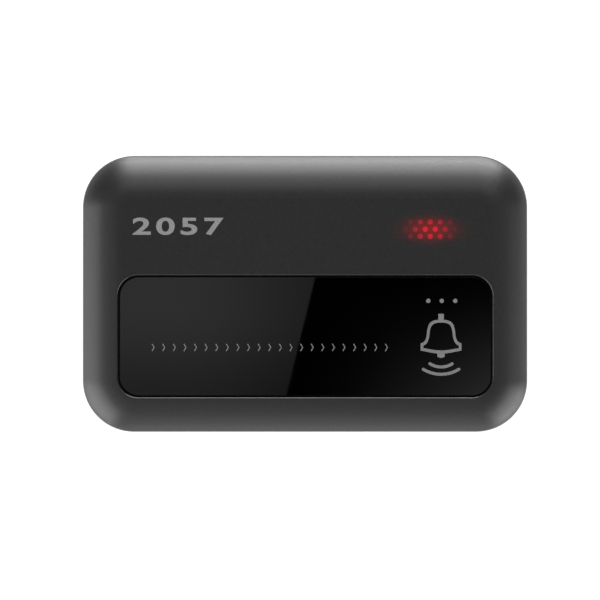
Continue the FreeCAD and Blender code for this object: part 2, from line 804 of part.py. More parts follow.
def rear_housing():
    """Tray with a lip for the cover, screw towers, board standoffs, keyholes and the battery bay."""
    form = rear_form()
    lip = rounded_slab(body_length - 2 * lip_inset, body_width - 2 * lip_inset, corner_radius - lip_inset,
                       parting_height - lip_thickness, lip_top)
    cavity = Part.makeLoft([inset_outline(cavity_bottom_inset, floor_top),
                            inset_outline(cavity_top_inset, lip_top + overrun)], True, True)
    bay_half = door_width / 2 + door_tongue + slide_gap + door_frame
    bay = block(-bay_half, bay_half, -body_width / 2, door_end + door_frame_end, foot_proud, web_top)
    ring_radius = cell_radius + cell_gap
    ring = upright_cylinder(ring_radius + cell_ring_wall, web_bottom, board_bottom - cell_ring_gap, 0, cell_y)
    pieces = [form.fuse(lip).cut(cavity), bay.common(form), ring]
    cuts = [upright_cylinder(ring_radius, foot_proud - overrun, board_bottom, 0, cell_y),
            block(cell_radius - pin_gap, ring_radius + cell_ring_wall + overrun, cell_y - contact_notch / 2,
                  cell_y + contact_notch / 2, web_top, board_bottom),
            block(-door_width / 2 - slide_gap, door_width / 2 + slide_gap, -body_width,
                  door_end + slide_gap, foot_proud - overrun, web_bottom)]
    groove_half = door_width / 2 + door_tongue + slide_gap
    cuts.append(block(-groove_half, groove_half, -body_width, door_end + slide_gap,
                      door_top - door_tongue_thickness - slide_gap, web_bottom))
    for side_x, side_y in four_quarters:
        x = side_x * screw_x
        y = side_y * screw_y
        pieces.append(upright_cylinder(tower_radius, floor_thickness, tower_top, x, y))
        cuts.append(upright_cylinder(screw_head_radius + recess_gap, foot_proud - overrun, screw_seat, x, y))
        cuts.append(upright_cylinder(screw_radius + 2 * slide_gap, foot_proud, tower_top + overrun, x, y))
        x = side_x * standoff_x
        y = side_y * standoff_y
        pieces.append(upright_cylinder(standoff_radius, floor_thickness, board_bottom, x, y))
        cuts.append(upright_cylinder(screw_radius + pin_gap, board_bottom - standoff_pilot_depth,
                                     board_bottom + overrun, x, y))
        cuts.append(upright_cylinder(foot_radius + slide_gap, foot_proud - overrun, foot_height,
                                     side_x * foot_x, side_y * foot_y))
    for side in (1, -1):
        pocket_top = foot_proud + keyhole_depth
        pieces.append(keyhole_pocket(side, keyhole_wall, floor_thickness, pocket_top + keyhole_wall))
        cuts.append(keyhole_pocket(side, 0, floor_top, pocket_top))
        cuts.append(keyhole_cut(side))
    return fused(pieces).cut(Part.makeCompound(cuts))


# Screws and feet

def pan_screw(x, y, seat, direction, length):
    """Pan head screw with a cross recess; the head lies against its seat and the shank points away."""
    head = upright_cylinder(screw_head_radius, -screw_head_height, 0)
    head = head.makeChamfer(screw_head_bevel, edges_at(head, -screw_head_height))
    half = screw_cross_length / 2
    thin = screw_cross_width / 2
    low = -screw_head_height - overrun
    high = screw_cross_depth - screw_head_height
    cross = block(-half, half, -thin, thin, low, high).fuse(block(-thin, thin, -half, half, low, high))
    screw = fused([head.cut(cross), upright_cylinder(screw_radius, 0, length)])
    if direction < 0:
        screw.rotate(Vector(0, 0, 0), Vector(1, 0, 0), 2 * quarter_turn)
    return screw.translated(Vector(x, y, seat))


def housing_screws():
    """Four screws from below that hold the cover on the rear housing."""
    return Part.makeCompound([pan_screw(side_x * screw_x, side_y * screw_y, screw_seat, 1, housing_screw_length)
                              for side_x, side_y in four_quarters])


def board_screws():
    """Four screws from above that hold the board on its standoffs."""
    return Part.makeCompound([pan_screw(side_x * standoff_x, side_y * standoff_y, board_top, -1, board_screw_length)
                              for side_x, side_y in four_quarters])


def rubber_feet():
    """Four round feet, each sunk in its recess."""
    feet = []
    for side_x, side_y in four_quarters:
        foot = upright_cylinder(foot_radius, 0, foot_height, side_x * foot_x, side_y * foot_y)
        feet.append(foot.makeChamfer(foot_chamfer, edges_at(foot, 0)))
    return Part.makeCompound(feet)


pieces = {
    "front_cover": front_cover(),
    "indicator_light_guide": indicator_light_guide(),
    "led_package": led_package(),
    "led_lens": led_lens(),
    "key_lens": key_lens(),
    "key_adhesive": key_adhesive(),
    "key_carrier": key_carrier(),
    "switch_base": switch_base(),
    "switch_dome": switch_dome(),
    "switch_plunger": switch_plunger(),
    "switch_cover": switch_cover(),
    "switch_terminals": switch_terminals(),
    "circuit_board": circuit_board(),
    "radio_chip": radio_chip(),
    "radio_chip_leads": radio_chip_leads(),
    "crystal": crystal(),
    "capacitors": small_parts(capacitor_shares, capacitor_length, capacitor_width, capacitor_height),
    "resistors": small_parts(resistor_shares, resistor_length, resistor_width, resistor_height),
    "antenna_loop": antenna_loop(),
    "coin_cell": coin_cell(),
    "battery_negative_contact": battery_negative_contact(),
    "battery_positive_contact": battery_positive_contact(),
    "battery_door": battery_door(),
    "rear_housing": rear_housing(),
    "housing_screws": housing_screws(),
    "board_screws": board_screws(),
    "rubber_feet": rubber_feet(),
}

os.makedirs("parts", exist_ok=True)
for name, piece in pieces.items():
    piece.exportStep("parts/" + name + ".step")
    print(name, len(piece.Solids), "solids,", round(piece.Volume, 2), "mm3, valid:", piece.isValid())
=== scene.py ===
import math

import bmesh
import bpy
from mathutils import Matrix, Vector


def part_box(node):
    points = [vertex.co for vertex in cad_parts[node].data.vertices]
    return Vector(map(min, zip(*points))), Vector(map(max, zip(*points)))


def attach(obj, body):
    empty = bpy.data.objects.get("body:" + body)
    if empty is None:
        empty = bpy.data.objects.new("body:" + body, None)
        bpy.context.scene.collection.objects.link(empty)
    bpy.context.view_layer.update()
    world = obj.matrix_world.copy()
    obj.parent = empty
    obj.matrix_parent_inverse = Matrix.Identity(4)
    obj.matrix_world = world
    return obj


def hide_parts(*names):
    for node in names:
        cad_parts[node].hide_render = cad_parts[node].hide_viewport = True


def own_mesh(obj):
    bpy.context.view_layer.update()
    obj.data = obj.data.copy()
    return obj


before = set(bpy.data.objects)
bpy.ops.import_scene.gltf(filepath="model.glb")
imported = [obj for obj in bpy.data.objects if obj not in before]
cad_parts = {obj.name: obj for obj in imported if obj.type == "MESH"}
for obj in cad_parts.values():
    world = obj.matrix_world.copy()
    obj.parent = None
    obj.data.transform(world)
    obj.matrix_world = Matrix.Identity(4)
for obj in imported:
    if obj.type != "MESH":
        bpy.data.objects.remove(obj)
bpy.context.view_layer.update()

# Rear housing
# The tray that carries everything: black ABS from a spark-eroded mould, which leaves a fine grain.
# The cover drops over its lip and four screws hold the two together.


def node(tree, kind, inputs, **properties):
    """Adds a node; each input is given a value or is joined to another node's output."""
    new = tree.nodes.new(kind)
    for name, value in properties.items():
        setattr(new, name, value)
    for name, value in inputs.items():
        if isinstance(value, bpy.types.NodeSocket):
            tree.links.new(value, new.inputs[name])
        else:
            new.inputs[name].default_value = value
    return new


def shade(name):
    """New material with its node tree, its shader and the place on the piece."""
    material = bpy.data.materials.new(name)
    material.use_nodes = True
    tree = material.node_tree
    shader = tree.nodes["Principled BSDF"]
    place = node(tree, "ShaderNodeTexCoord", {}).outputs["Object"]
    return material, tree, shader, place


def uneven(tree, place, size, low, high):
    """A value that drifts between two bounds over patches of a size in metres."""
    cloud = node(tree, "ShaderNodeTexNoise", {"Vector": place, "Scale": 1 / size, "Detail": 3.0})
    spread = node(tree, "ShaderNodeMapRange", {"Value": cloud.outputs["Fac"], "From Min": 0.3, "From Max": 0.7,
                                               "To Min": low, "To Max": high})
    return spread.outputs["Result"]


def tinted(tree, amount, dark, light):
    """A colour between two, by an amount from 0 to 1."""
    ramp = node(tree, "ShaderNodeValToRGB", {"Fac": amount})
    ramp.color_ramp.elements[0].color = (*dark, 1)
    ramp.color_ramp.elements[1].color = (*light, 1)
    return ramp.outputs["Color"]


def grained(tree, shader, place, size, depth):
    """Fine relief on a surface: the size of its grains and its depth, in metres."""
    grain = node(tree, "ShaderNodeTexNoise", {"Vector": place, "Scale": 1 / size, "Detail": 2.0, "Roughness": 0.6})
    relief = node(tree, "ShaderNodeBump", {"Height": grain.outputs["Fac"], "Distance": depth, "Strength": 1.0})
    tree.links.new(relief.outputs["Normal"], shader.inputs["Normal"])


def moulded_plastic(name, dark, light, sheen, grain_size, grain_depth):
    """Grained plastic, a little uneven in tone and in sheen."""
    material, tree, shader, place = shade(name)
    patches = uneven(tree, place, 0.006, 0.0, 1.0)
    tree.links.new(tinted(tree, patches, dark, light), shader.inputs["Base Color"])
    tree.links.new(uneven(tree, place, 0.003, sheen - 0.03, sheen + 0.03), shader.inputs["Roughness"])
    grained(tree, shader, place, grain_size, grain_depth)
    return material


def finish(name, material):
    """Gives a node of the frame its material."""
    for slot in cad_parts[name].material_slots:
        slot.material = material


rear_plastic = moulded_plastic("rear plastic", (0.010, 0.010, 0.011), (0.015, 0.015, 0.016),
                               0.52, 0.00035, 0.00004)
finish("rear_housing", rear_plastic)

# Rubber feet
# Four punched rubber discs, glued in round recesses; they keep the device from sliding.
# The rubber is dull and slightly dusty.

foot_rubber = moulded_plastic("foot rubber", (0.028, 0.028, 0.029), (0.052, 0.051, 0.049), 0.78, 0.0005, 0.00005)
finish("rubber_feet", foot_rubber)

# Coin cell and its contacts
# A lithium cell in a nickel-plated can, gripped between a leaf spring below the board and a side leaf.
# The can shows fine turned lines; the leaves are spring steel, rolled and bright.


def plated_metal(name, dark, light, roughness, stretch):
    """Bright metal with fine lines, drawn out along X when stretch is small."""
    material, tree, shader, place = shade(name)
    shader.inputs["Metallic"].default_value = 1.0
    drawn = node(tree, "ShaderNodeMapping", {"Vector": place, "Scale": (stretch, 1.0, 1.0)}).outputs["Vector"]
    lines = uneven(tree, drawn, 0.0003, 0.0, 1.0)
    tree.links.new(tinted(tree, lines, dark, light), shader.inputs["Base Color"])
    tree.links.new(uneven(tree, drawn, 0.0005, roughness - 0.06, roughness + 0.08), shader.inputs["Roughness"])
    grained(tree, shader, drawn, 0.0002, 0.000004)
    return material


finish("coin_cell", plated_metal("cell steel", (0.50, 0.49, 0.47), (0.62, 0.61, 0.59), 0.27, 0.08))
spring_steel = plated_metal("spring steel", (0.42, 0.40, 0.36), (0.55, 0.53, 0.49), 0.30, 0.15)
for name in ("battery_negative_contact", "battery_positive_contact"):
    finish(name, spring_steel)

# Battery door
# A slide of the same plastic as the tray; its tongues run in two grooves, and finger grips are sunk
# in its outer face.

finish("battery_door", rear_plastic)

# Circuit board
# Glass-epoxy laminate under green solder mask, 1 mm thick, on four standoffs of the tray.
# Copper tracks show through the mask as slightly lighter bands.

board_laminate, tree, shader, place = shade("board laminate")
tracks = node(tree, "ShaderNodeTexBrick", {"Vector": place, "Scale": 100.0, "Mortar Size": 0.02,
                                           "Brick Width": 1.3, "Row Height": 0.17,
                                           "Color1": (0.010, 0.060, 0.026, 1), "Color2": (0.012, 0.072, 0.030, 1),
                                           "Mortar": (0.020, 0.105, 0.046, 1)})
tree.links.new(tracks.outputs["Color"], shader.inputs["Base Color"])
tree.links.new(uneven(tree, place, 0.002, 0.30, 0.42), shader.inputs["Roughness"])
relief = node(tree, "ShaderNodeBump", {"Height": tracks.outputs["Fac"], "Distance": 0.00002, "Strength": 0.5})
tree.links.new(relief.outputs["Normal"], shader.inputs["Normal"])
finish("circuit_board", board_laminate)

# Radio chip, crystal and small parts
# A moulded chip with tinned leads, the crystal's drawn can, ceramic capacitors, film resistors and
# the sheet metal aerial, all soldered on top of the board.

tinned_metal = plated_metal("tinned metal", (0.60, 0.60, 0.60), (0.74, 0.74, 0.73), 0.32, 0.5)
for name in ("radio_chip_leads", "switch_terminals", "antenna_loop"):
    finish(name, tinned_metal)
finish("crystal", plated_metal("crystal can", (0.55, 0.55, 0.56), (0.70, 0.70, 0.71), 0.22, 0.3))
finish("radio_chip", moulded_plastic("chip epoxy", (0.012, 0.012, 0.012), (0.020, 0.020, 0.021),
                                     0.60, 0.0001, 0.00001))
finish("capacitors", moulded_plastic("capacitor ceramic", (0.30, 0.20, 0.12), (0.42, 0.30, 0.19),
                                     0.45, 0.00015, 0.00001))
finish("resistors", moulded_plastic("resistor film", (0.014, 0.014, 0.016), (0.10, 0.10, 0.11),
                                    0.38, 0.0002, 0.00001))

# Lamp
# A red lamp under the light dots: a white package soldered to the board, with a clear dome on it.
# It is shown lit, so the dome gives off red light.

finish("led_package", moulded_plastic("lamp package", (0.62, 0.61, 0.58), (0.74, 0.73, 0.70),
                                      0.40, 0.0002, 0.00001))
lamp_epoxy = moulded_plastic("lamp epoxy", (0.70, 0.05, 0.04), (0.80, 0.08, 0.06), 0.10, 0.0004, 0.000004)
lamp_shader = lamp_epoxy.node_tree.nodes["Principled BSDF"]
lamp_shader.inputs["Emission Color"].default_value = (1.0, 0.03, 0.03, 1)
lamp_shader.inputs["Emission Strength"].default_value = 2.0
finish("led_lens", lamp_epoxy)

# Push switch
# A 6 mm tact switch: nylon base, steel cover with bent tabs and a nylon stem that the key presses.
# Four tinned legs solder it to the board.

finish("switch_base", moulded_plastic("switch nylon", (0.018, 0.018, 0.019), (0.028, 0.028, 0.029),
                                      0.50, 0.0002, 0.00001))
finish("switch_plunger", moulded_plastic("plunger nylon", (0.024, 0.024, 0.024), (0.036, 0.036, 0.036),
                                         0.38, 0.0002, 0.00001))
finish("switch_cover", plated_metal("switch steel", (0.52, 0.52, 0.51), (0.66, 0.66, 0.65), 0.28, 0.2))

# Snap dome
# A dished disc of spring steel under the stem, 0.1 mm thick, that clicks as the stem presses it flatter.
# It is spun from the section of its shell.

low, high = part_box("switch_dome")
dome_reach, dome_rise, dome_sheet = (high.x - low.x) / 2, high.z - low.z, 0.0001
dome_rings, dome_sectors = 10, 48
ball = (dome_reach ** 2 + dome_rise ** 2) / (2 * dome_rise)
middle = ((low.x + high.x) / 2, (low.y + high.y) / 2, high.z - ball)
section = []
for radius, inwards in ((ball, False), (ball - dome_sheet, True)):
    rim = math.acos((ball - dome_rise) / radius)
    turns = [rim * step / dome_rings for step in range(dome_rings + 1)]
    section += [(radius * math.sin(turn), radius * math.cos(turn)) for turn in (turns[::-1] if inwards else turns)]
spun = bmesh.new()
corners = [spun.verts.new((middle[0] + across, middle[1], middle[2] + up)) for across, up in section]
sides = [spun.edges.new(pair) for pair in zip(corners, corners[1:])]
bmesh.ops.spin(spun, geom=corners + sides, cent=middle, axis=(0, 0, 1), angle=2 * math.pi, steps=dome_sectors)
bmesh.ops.remove_doubles(spun, verts=spun.verts, dist=1e-7)
bmesh.ops.recalc_face_normals(spun, faces=spun.faces)
dome_mesh = bpy.data.meshes.new("snap_dome")
spun.to_mesh(dome_mesh)
spun.free()
dome_mesh.materials.append(spring_steel)
dome_mesh.shade_smooth()
dome_mesh.set_sharp_from_angle(angle=math.radians(40))
snap_dome = bpy.data.objects.new("snap_dome", dome_mesh)
bpy.context.scene.collection.objects.link(snap_dome)
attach(snap_dome, "root")
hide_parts("switch_dome")
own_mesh(snap_dome)

# Key carrier and its adhesive
# A black moulded plate hinged at its left end, with the glossy sheet stuck on by a die-cut foam tape.
# Its rim shows through the gap around the sheet.

finish("key_carrier", moulded_plastic("carrier plastic", (0.006, 0.006, 0.006), (0.010, 0.010, 0.010),
                                      0.55, 0.0003, 0.00002))
finish("key_adhesive", moulded_plastic("adhesive foam", (0.012, 0.012, 0.012), (0.030, 0.030, 0.030),
                                       0.85, 0.0002, 0.00004))

# Key sheet
# The glossy panel that is pressed: black acrylic cut from polished sheet, with crisp edges.
# It lies a third of a millimetre below the cover's face.


def growing_tree(name, sizes):
    """New geometry tree with a named input for each size; returns it with its input and output nodes."""
    tree = bpy.data.node_groups.new(name, "GeometryNodeTree")
    tree.interface.new_socket("Mesh", in_out="OUTPUT", socket_type="NodeSocketGeometry")
    for label in sizes:
        tree.interface.new_socket(label, in_out="INPUT", socket_type="NodeSocketFloat")
    return tree, tree.nodes.new("NodeGroupInput").outputs, tree.nodes.new("NodeGroupOutput")


def rounded_plate(tree, length, width, corner, thickness, middle):
    """Nodes for a flat plate with round corners, standing on its middle; returns its mesh and upper face."""
    outline = node(tree, "GeometryNodeCurvePrimitiveQuadrilateral", {"Width": length, "Height": width})
    rounded = node(tree, "GeometryNodeFilletCurve", {"Curve": outline.outputs["Curve"], "Radius": corner,
                                                     "Count": 24}, mode="POLY")
    face = node(tree, "GeometryNodeFillCurve", {"Curve": rounded.outputs["Curve"]}, mode="NGONS")
    placed = node(tree, "GeometryNodeTransform", {"Geometry": face.outputs["Mesh"], "Translation": middle})
    raised = node(tree, "GeometryNodeExtrudeMesh", {"Mesh": placed.outputs["Geometry"],
                                                    "Offset Scale": thickness, "Individual": False})
    under = node(tree, "GeometryNodeFlipFaces", {"Mesh": placed.outputs["Geometry"]})
    whole = node(tree, "GeometryNodeJoinGeometry", {"Geometry": raised.outputs["Mesh"]})
    tree.links.new(under.outputs["Mesh"], whole.inputs["Geometry"])
    return whole.outputs["Geometry"], raised.outputs["Top"]


def grown(name, tree, sizes, mesh, output, material, body, edge):
    """Ends the tree, grows the piece from it as a closed mesh, softens its edges and joins it to its body."""
    real = node(tree, "GeometryNodeRealizeInstances", {"Geometry": mesh})
    joined = node(tree, "GeometryNodeMergeByDistance", {"Geometry": real.outputs["Geometry"], "Distance": 1e-7})
    coated = node(tree, "GeometryNodeSetMaterial", {"Geometry": joined.outputs["Geometry"], "Material": material})
    tree.links.new(coated.outputs["Geometry"], output.inputs["Mesh"])
    piece = bpy.data.objects.new(name, bpy.data.meshes.new(name))
    bpy.context.scene.collection.objects.link(piece)
    grower = piece.modifiers.new("grow", "NODES")
    grower.node_group = tree
    for socket in tree.interface.items_tree:
        if socket.in_out == "INPUT":
            grower[socket.identifier] = sizes[socket.name]
    if edge:
        bevel = piece.modifiers.new("edge", "BEVEL")
        bevel.width = edge
        bevel.segments = 3
        bevel.angle_limit = math.radians(50)
    solid = bpy.data.meshes.new_from_object(piece.evaluated_get(bpy.context.evaluated_depsgraph_get()))
    piece.modifiers.clear()
    piece.data = solid
    solid.name = name
    shell = bmesh.new()
    shell.from_mesh(solid)
    bmesh.ops.recalc_face_normals(shell, faces=shell.faces)
    shell.to_mesh(solid)
    shell.free()
    solid.set_sharp_from_angle(angle=math.radians(35))
    for face in solid.polygons:
        face.use_smooth = len(face.vertices) == 4
    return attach(piece, body)


def middle_and_size(name):
    """Middle and size of a node of the frame."""
    low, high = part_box(name)
    return (low + high) / 2, high - low


black_acrylic, tree, shader, place = shade("black acrylic")
tree.links.new(tinted(tree, uneven(tree, place, 0.010, 0.0, 1.0), (0.0002, 0.0002, 0.0002),
                      (0.0004, 0.0004, 0.0004)), shader.inputs["Base Color"])
tree.links.new(uneven(tree, place, 0.004, 0.006, 0.014), shader.inputs["Roughness"])
shader.inputs["IOR"].default_value = 1.49
grained(tree, shader, place, 0.006, 0.0000001)

middle, size = middle_and_size("key_lens")
sheet_sizes = {"Length": size.x, "Width": size.y, "Corner": 0.00367, "Thickness": size.z}
tree, given, output = growing_tree("key sheet", sheet_sizes)
foot = (middle.x, middle.y, middle.z - size.z / 2)
mesh = rounded_plate(tree, given["Length"], given["Width"], given["Corner"], given["Thickness"], foot)[0]
key_sheet = grown("key_sheet", tree, sheet_sizes, mesh, output, black_acrylic, "key", 0.00002)
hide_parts("key_lens")
sheet_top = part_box("key_lens")[1].z

# Print on the key
# Silver-grey ink, screen printed in one pass on the sheet and about 12 micrometres thick: a bell with two
# sound waves over the switch, three dots above it, and a row of marks that leads the eye to it.

ink_rise = 0.000012
bell_place = Vector((0.02629, -0.00803))


def silver_ink(name, dark, light):
    """Silver-grey screen ink whose coat is slightly uneven."""
    material, tree, shader, place = shade(name)
    tree.links.new(tinted(tree, uneven(tree, place, 0.0004, 0.0, 1.0), dark, light), shader.inputs["Base Color"])
    tree.links.new(uneven(tree, place, 0.0006, 0.42, 0.52), shader.inputs["Roughness"])
    grained(tree, shader, place, 0.0001, 0.000003)
    return material


ink = silver_ink("silver ink", (0.165, 0.165, 0.167), (0.215, 0.215, 0.217))


def printed(name, outlines, place, height, material, body):
    """Flat print with holes, from outlines of (x, y, handle) points in millimetres around its place."""
    drawing = bpy.data.curves.new(name, "CURVE")
    drawing.dimensions = "2D"
    drawing.fill_mode = "BOTH"
    drawing.extrude = ink_rise / 2
    for points in outlines:
        spline = drawing.splines.new("BEZIER")
        spline.bezier_points.add(len(points) - 1)
        spline.use_cyclic_u = True
        for corner, (x, y, handle) in zip(spline.bezier_points, points):
            corner.co = (place.x + x / 1000, place.y + y / 1000, 0)
            corner.handle_left_type = corner.handle_right_type = handle
    return inked(name, drawing, (0, 0, height + ink_rise / 2), material, body)


def inked(name, drawing, place, material, body):
    """Makes a flat curve or text a mesh, puts it in place and joins it to its body."""
    flat = bpy.data.objects.new(name, drawing)
    bpy.context.scene.collection.objects.link(flat)
    mesh = bpy.data.meshes.new_from_object(flat.evaluated_get(bpy.context.evaluated_depsgraph_get()))
    bpy.data.objects.remove(flat)
    for corner in mesh.vertices:
        corner.co += Vector(place)
    mesh.materials.clear()
    mesh.materials.append(material)
    piece = bpy.data.objects.new(name, mesh)
    bpy.context.scene.collection.objects.link(piece)
    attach(piece, body)
    return piece


def mirrored(left):
    """A closed outline from its left half, given from the top middle down to the bottom middle."""
    right = [(-x, y, handle) for x, y, handle in left[::-1] if x]
    return left + right


bell_skin = mirrored([(0, 2.98, "AUTO"), (-1.15, 2.93, "AUTO"), (-2.14, 2.40, "AUTO"), (-2.62, 1.25, "AUTO"),
                      (-2.96, -0.70, "AUTO"), (-3.29, -1.21, "AUTO"), (-3.95, -1.58, "VECTOR"),
                      (-3.95, -2.94, "VECTOR"), (0, -3.53, "AUTO")])
bell_inside = mirrored([(0, 2.47, "AUTO"), (-1.00, 2.38, "AUTO"), (-1.73, 1.97, "AUTO"), (-2.09, 1.15, "AUTO"),
                        (-2.39, -0.65, "AUTO"), (-2.86, -1.62, "AUTO"), (-3.42, -1.98, "VECTOR"),
                        (-3.44, -2.47, "VECTOR"), (0, -2.91, "AUTO")])
knob = [(-0.535, 2.90, "VECTOR"), (-0.535, 4.17, "VECTOR"), (0.535, 4.17, "VECTOR"), (0.535, 2.90, "VECTOR")]
clapper = mirrored([(0, -3.48, "VECTOR"), (-0.69, -3.40, "VECTOR"), (-0.69, -4.07, "AUTO"),
                    (-0.50, -4.24, "AUTO")])
printed("bell_print", [bell_skin, bell_inside], bell_place, sheet_top, ink, "key")
overlap_rise = ink_rise / 4
for name, outline in (("bell_knob_print", knob), ("bell_clapper_print", clapper)):
    printed(name, [outline], bell_place, sheet_top + overlap_rise, ink, "key")

# Sound waves below the bell
# Two arcs printed with the bell, in the same ink.
# Each is a ribbon of ink along its path, with a round tip at both ends.


def ribbon(tree, path, stroke, rise):
    """Line of ink along a path, as closed plates; its round ends lie a little lower. Returns its mesh."""
    half = node(tree, "ShaderNodeMath", {0: stroke, 1: 0.5}, operation="MULTIPLY").outputs[0]
    other = node(tree, "ShaderNodeMath", {0: stroke, 1: -0.5}, operation="MULTIPLY").outputs[0]
    start = node(tree, "ShaderNodeCombineXYZ", {"X": other})
    end = node(tree, "ShaderNodeCombineXYZ", {"X": half})
    nib = node(tree, "GeometryNodeCurvePrimitiveLine", {"Start": start.outputs[0], "End": end.outputs[0]})
    line = node(tree, "GeometryNodeCurveToMesh", {"Curve": path, "Profile Curve": nib.outputs["Curve"]})
    tip = node(tree, "GeometryNodeMeshCircle", {"Vertices": 20, "Radius": half}, fill_type="NGON")
    ends = node(tree, "GeometryNodeCurveEndpointSelection", {})
    tips = node(tree, "GeometryNodeInstanceOnPoints", {"Points": path, "Selection": ends.outputs["Selection"],
                                                       "Instance": tip.outputs["Mesh"]})
    real = node(tree, "GeometryNodeRealizeInstances", {"Geometry": tips.outputs["Instances"]})
    lowered = node(tree, "GeometryNodeTransform", {"Geometry": real.outputs["Geometry"],
                                                   "Translation": (0, 0, -ink_rise / 5)})
    flat = node(tree, "GeometryNodeJoinGeometry", {"Geometry": line.outputs["Mesh"]})
    tree.links.new(lowered.outputs["Geometry"], flat.inputs["Geometry"])
    under = node(tree, "GeometryNodeExtrudeMesh", {"Mesh": flat.outputs["Geometry"], "Offset": (0, 0, -1),
                                                   "Offset Scale": rise, "Individual": False})
    whole = node(tree, "GeometryNodeJoinGeometry", {"Geometry": flat.outputs["Geometry"]})
    tree.links.new(under.outputs["Mesh"], whole.inputs["Geometry"])
    return whole.outputs["Geometry"]


wave_sizes = {"Inner radius": 0.00398, "Inner half angle": 0.568, "Inner foot": -0.00611,
              "Outer radius": 0.00659, "Outer half angle": 0.549, "Outer foot": -0.00752,
              "Stroke": 0.00058, "Rise": ink_rise}
tree, given, output = growing_tree("sound waves", wave_sizes)
waves = node(tree, "GeometryNodeJoinGeometry", {})
for wave in ("Inner", "Outer"):
    radius = given[wave + " radius"]
    half_angle = given[wave + " half angle"]
    begin = node(tree, "ShaderNodeMath", {0: -math.pi / 2, 1: half_angle}, operation="SUBTRACT")
    sweep = node(tree, "ShaderNodeMath", {0: half_angle, 1: 2.0}, operation="MULTIPLY")
    arc = node(tree, "GeometryNodeCurveArc", {"Resolution": 24, "Radius": radius, "Start Angle": begin.outputs[0],
                                              "Sweep Angle": sweep.outputs[0]})
    rise = node(tree, "ShaderNodeMath", {0: radius, 1: given[wave + " foot"]}, operation="ADD")
    middle = node(tree, "ShaderNodeCombineXYZ", {"Y": rise.outputs[0]})
    placed = node(tree, "GeometryNodeTransform", {"Geometry": arc.outputs["Curve"],
                                                  "Translation": middle.outputs[0]})
    tree.links.new(ribbon(tree, placed.outputs["Geometry"], given["Stroke"], given["Rise"]),
                   waves.inputs["Geometry"])
onto_sheet = node(tree, "GeometryNodeTransform", {"Geometry": waves.outputs["Geometry"],
                                                  "Translation": (*bell_place, sheet_top + ink_rise)})
sound_waves = grown("sound_waves_print", tree, wave_sizes, onto_sheet.outputs["Geometry"], output, ink, "key", 0)

# Guide marks
# A row of small arrowheads that points along the key to the bell, and three dots over the bell.
# They are printed with the bell, in the same ink.

mark_sizes = {"Mark radius": 0.00072, "Mark pitch": 0.00205, "Mark stroke": 0.00019, "Dot radius": 0.00042,
              "Dot pitch": 0.0026, "Rise": ink_rise}
mark_count, dot_count = 23, 3
dots_middle = 0.02642
marks_start = Vector((-0.0299, -0.01036, sheet_top + ink_rise))
dots_start = Vector((dots_middle - mark_sizes["Dot pitch"], -0.00135, sheet_top + ink_rise / 2))
tree, given, output = growing_tree("guide marks", mark_sizes)
arrow = node(tree, "GeometryNodeCurveArc", {"Resolution": 3, "Radius": given["Mark radius"],
                                            "Start Angle": -math.pi / 3, "Sweep Angle": 2 * math.pi / 3})
arrowhead = ribbon(tree, arrow.outputs["Curve"], given["Mark stroke"], given["Rise"])
dot = node(tree, "GeometryNodeMeshCylinder", {"Vertices": 32, "Radius": given["Dot radius"],
                                              "Depth": given["Rise"]})
marks = node(tree, "GeometryNodeJoinGeometry", {})
for start, count, pitch, shape in ((marks_start, mark_count, given["Mark pitch"], arrowhead),
                                   (dots_start, dot_count, given["Dot pitch"], dot.outputs["Mesh"])):
    step = node(tree, "ShaderNodeCombineXYZ", {"X": pitch})
    line = node(tree, "GeometryNodeMeshLine", {"Count": count, "Start Location": start,
                                               "Offset": step.outputs[0]}, mode="OFFSET")
    row = node(tree, "GeometryNodeInstanceOnPoints", {"Points": line.outputs["Mesh"], "Instance": shape})
    tree.links.new(row.outputs["Instances"], marks.inputs["Geometry"])
guide_marks = grown("guide_marks_print", tree, mark_sizes, marks.outputs["Geometry"], output, ink, "key", 0)

# Indicator light guide
# Smoked acrylic moulded with twenty pegs in three rows; the pegs fill the dots of the cover, flush with it.
# A tapered stem gathers the lamp's light, which reaches the middle pegs most; each lit peg glows red.

lamp_place = Vector((0.0242, 0.01225))


def glow(tree, place, centre, reach_x, reach_y):
    """Falls from 1 over a centre to 0 around it, like light that spreads in plastic."""
    apart = node(tree, "ShaderNodeSeparateXYZ", {"Vector": place})
    squares = []
    for axis, middle, reach in (("X", centre.x, reach_x), ("Y", centre.y, reach_y)):
        away = node(tree, "ShaderNodeMath", {0: apart.outputs[axis], 1: middle}, operation="SUBTRACT")
        share = node(tree, "ShaderNodeMath", {0: away.outputs[0], 1: reach}, operation="DIVIDE")
        square = node(tree, "ShaderNodeMath", {0: share.outputs[0], 1: share.outputs[0]}, operation="MULTIPLY")
        squares.append(square.outputs[0])
    total = node(tree, "ShaderNodeMath", {0: squares[0], 1: squares[1]}, operation="ADD")
    half = node(tree, "ShaderNodeMath", {0: total.outputs[0], 1: -0.5}, operation="MULTIPLY")
    return node(tree, "ShaderNodeMath", {0: half.outputs[0]}, operation="EXPONENT").outputs[0]


peg_acrylic, tree, shader, place = shade("peg acrylic")
lit = glow(tree, place, lamp_place, 0.00222, 0.00157)
tree.links.new(tinted(tree, lit, (0.0065, 0.0065, 0.0066), (0.0, 0.0, 0.0)), shader.inputs["Base Color"])
tree.links.new(uneven(tree, place, 0.0004, 0.34, 0.38), shader.inputs["Roughness"])
shader.inputs["Specular IOR Level"].default_value = 0.65
shader.inputs["Emission Color"].default_value = (1.0, 0.004, 0.028, 1)
peg_glow = 0.66
strength = node(tree, "ShaderNodeMath", {0: lit, 1: peg_glow}, operation="MULTIPLY")
tree.links.new(strength.outputs[0], shader.inputs["Emission Strength"])

